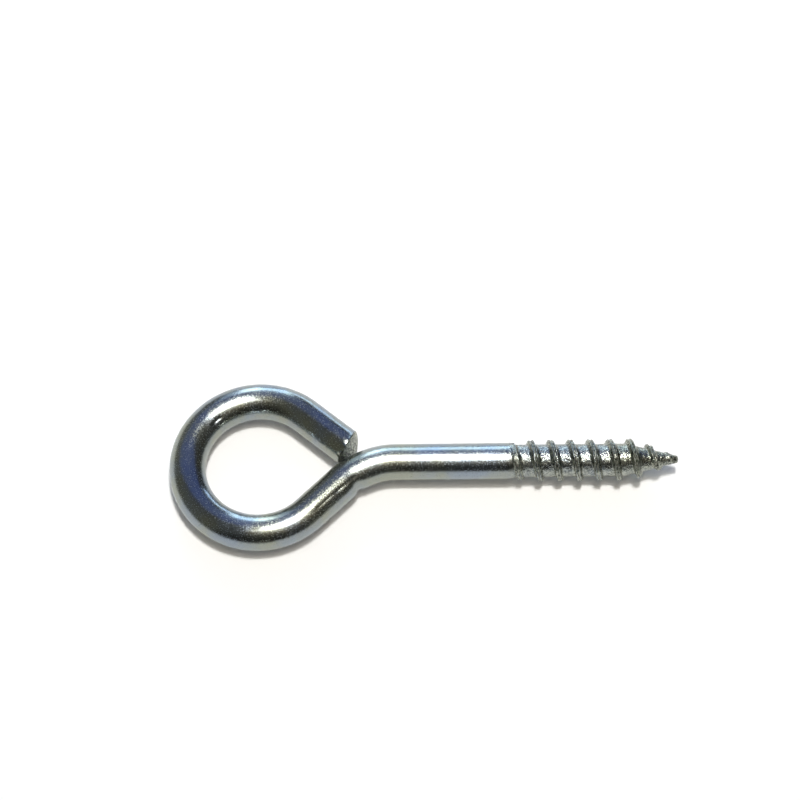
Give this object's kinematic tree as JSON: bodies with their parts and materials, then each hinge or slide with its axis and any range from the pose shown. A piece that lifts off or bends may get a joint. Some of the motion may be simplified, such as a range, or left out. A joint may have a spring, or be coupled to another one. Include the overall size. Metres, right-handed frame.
{
  "type": "screw eye",
  "caption": "Screw eye: one zinc-plated steel wire bent into a round eye with a cut tail beside the neck, a plain shank and a rolled wood-screw thread that ends in a gimlet point.",
  "frame": {"origin": "centre of the eye, in the plane of the wire's centre line", "axes": "+X in the direction of the shank, from the eye to the point, +Z square to the plane of the eye, +Y towards the cut tail"},
  "size_m": [0.0412, 0.0146, 0.0036],
  "materials": {
    "zinc_plated_steel": "bright zinc plating with a clear bluish passivate"
  },
  "bodies": {
    "root": {"screw_eye": "zinc_plated_steel"}
  },
  "joints": []
}
